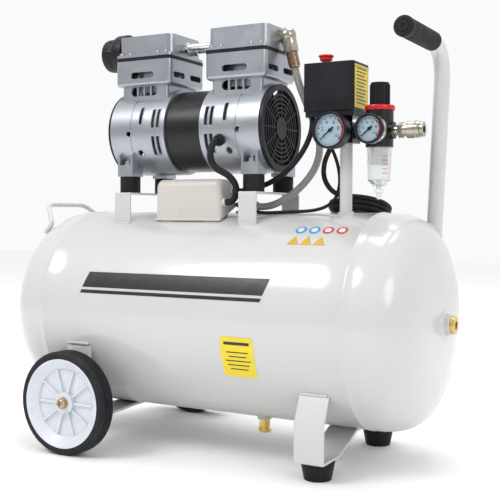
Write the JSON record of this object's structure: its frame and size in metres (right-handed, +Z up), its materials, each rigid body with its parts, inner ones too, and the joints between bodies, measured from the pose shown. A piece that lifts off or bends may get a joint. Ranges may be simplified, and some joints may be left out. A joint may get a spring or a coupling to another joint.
{
  "type": "portable air compressor",
  "caption": "Wheeled oil-free air compressor: motor with a cylinder at each end on a horizontal tank, pressure switch, gauges, regulator and quick coupler.",
  "frame": {"origin": "on the floor, under the middle of the tank", "axes": "+X along the tank towards the push handle, -Y to the front, +Z up"},
  "size_m": [0.712, 0.39, 0.654],
  "materials": {
    "white_paint": "gloss powder coat",
    "silver_paint": "painted die casting",
    "black_paint": "satin",
    "grip_foam": "matt",
    "foot_rubber": "matt",
    "tyre_rubber": "grooved",
    "rim_plastic": "moulded, satin gloss",
    "brass": "machined",
    "zinc_steel": "zinc plated",
    "nickel": "nickel plated",
    "machined_steel": "ground",
    "laminated_steel": "laminated",
    "machined_aluminium": "machined",
    "black_plastic": "moulded",
    "red_plastic": "moulded",
    "clear_bowl": "clear polycarbonate",
    "white_plastic": "moulded",
    "cream_plastic": "moulded",
    "cable_rubber": "smooth sheath",
    "hose_braid": "woven steel over rubber"
  },
  "bodies": {
    "frame": {"tank_barrel": "white_paint", "tank_heads": "white_paint", "tank_bungs": "white_paint", "end_plugs": "brass", "drain_valve": "brass", "carry_handle": "white_paint", "push_handle": "white_paint", "handle_grip": "grip_foam", "wheel_bracket": "white_paint", "foot_bracket": "white_paint", "rubber_feet": "foot_rubber", "axle_bolts": "zinc_steel", "motor_saddles": "white_paint", "vibration_mounts": "foot_rubber", "motor_shell": "black_paint", "stator": "laminated_steel", "shaft_bearings": "machined_steel", "left_crankcase": "silver_paint", "right_crankcase": "silver_paint", "fan_guards": "black_plastic", "cylinder_liners": "machined_aluminium", "valve_plates": "black_plastic", "head_covers": "silver_paint", "head_screws": "zinc_steel", "intake_filter": "black_plastic", "crossover_pipe": "machined_aluminium", "outlet_elbow": "nickel", "delivery_hose": "hose_braid", "check_valve": "brass", "capacitor_box": "cream_plastic", "service_lines": "cable_rubber", "riser_post": "white_paint", "manifold": "black_paint", "pressure_switch": "black_plastic", "gauges": "black_plastic", "regulator_body": "black_paint", "filter_bowl": "clear_bowl", "coupler_body": "nickel", "safety_valve": "brass", "mains_cord": "cable_rubber", "mains_coil": "cable_rubber", "mains_plug": "cable_rubber"},
    "rotor": {"rotor_core": "laminated_steel", "motor_shaft": "machined_steel", "crank_eccentrics": "laminated_steel", "cooling_fans": "black_plastic"},
    "left_rod": {"left_piston_rod": "machined_aluminium"},
    "right_rod": {"right_piston_rod": "machined_aluminium"},
    "front_wheel": {"front_wheel_rim": "rim_plastic", "front_wheel_tyre": "tyre_rubber"},
    "rear_wheel": {"rear_wheel_rim": "rim_plastic", "rear_wheel_tyre": "tyre_rubber"},
    "knob_switch": {"switch_knob": "red_plastic"},
    "pointer_tank": {"tank_gauge_pointer": "black_plastic"},
    "pointer_line": {"line_gauge_pointer": "black_plastic"},
    "knob_regulator": {"regulator_knob": "black_plastic"},
    "drain_bowl": {"bowl_drain": "white_plastic"},
    "sleeve": {"coupler_sleeve": "nickel"},
    "screw_drain": {"drain_screw": "brass"},
    "ring_safety": {"safety_ring": "machined_steel"}
  },
  "joints": [
    {"name": "rotor_spin", "type": "hinge", "parent": "frame", "child": "rotor", "pos_m": [-0.053, 0, 0.49], "axis": [1, 0, 0], "continuous": true},
    {"name": "left_rod_turn", "type": "hinge", "parent": "rotor", "child": "left_rod", "pos_m": [-0.1365, 0, 0.497], "axis": [1, 0, 0], "continuous": true},
    {"name": "right_rod_turn", "type": "hinge", "parent": "rotor", "child": "right_rod", "pos_m": [0.0305, 0, 0.483], "axis": [1, 0, 0], "continuous": true},
    {"name": "front_wheel_spin", "type": "hinge", "parent": "frame", "child": "front_wheel", "pos_m": [-0.183, -0.177, 0.0775], "axis": [0, 1, 0], "continuous": true},
    {"name": "rear_wheel_spin", "type": "hinge", "parent": "frame", "child": "rear_wheel", "pos_m": [-0.183, 0.177, 0.0775], "axis": [0, 1, 0], "continuous": true},
    {"name": "switch_knob_press", "type": "slide", "parent": "frame", "child": "knob_switch", "axis": [0, 0, 1], "range_m": [-0.004, 0]},
    {"name": "tank_gauge_turn", "type": "hinge", "parent": "frame", "child": "pointer_tank", "pos_m": [0.189, -0.055, 0.478], "axis": [0, 1, 0], "range_deg": [0, 260]},
    {"name": "line_gauge_turn", "type": "hinge", "parent": "frame", "child": "pointer_line", "pos_m": [0.248, -0.055, 0.478], "axis": [0, 1, 0], "range_deg": [0, 260]},
    {"name": "regulator_knob_turn", "type": "hinge", "parent": "frame", "child": "knob_regulator", "pos_m": [0.248, -0.018, 0.529], "axis": [0, 0, 1], "range_deg": [0, 720]},
    {"name": "bowl_drain_push", "type": "slide", "parent": "frame", "child": "drain_bowl", "axis": [0, 0, 1], "range_m": [0, 0.003], "stiffness_N_per_m": 400},
    {"name": "coupler_sleeve_slide", "type": "slide", "parent": "frame", "child": "sleeve", "axis": [1, 0, 0], "range_m": [-0.005, 0], "stiffness_N_per_m": 800},
    {"name": "drain_screw_turn", "type": "hinge", "parent": "frame", "child": "screw_drain", "pos_m": [0.058, 0, 0.034], "axis": [0, 0, 1], "range_deg": [0, 360]},
    {"name": "safety_ring_pull", "type": "slide", "parent": "frame", "child": "ring_safety", "axis": [0, 1, 0], "range_m": [0, 0.004], "stiffness_N_per_m": 1500}
  ],
  "couplings": [
    {"joint": "left_rod_turn", "follows": "rotor_spin", "ratio": -1},
    {"joint": "right_rod_turn", "follows": "rotor_spin", "ratio": -1}
  ]
}
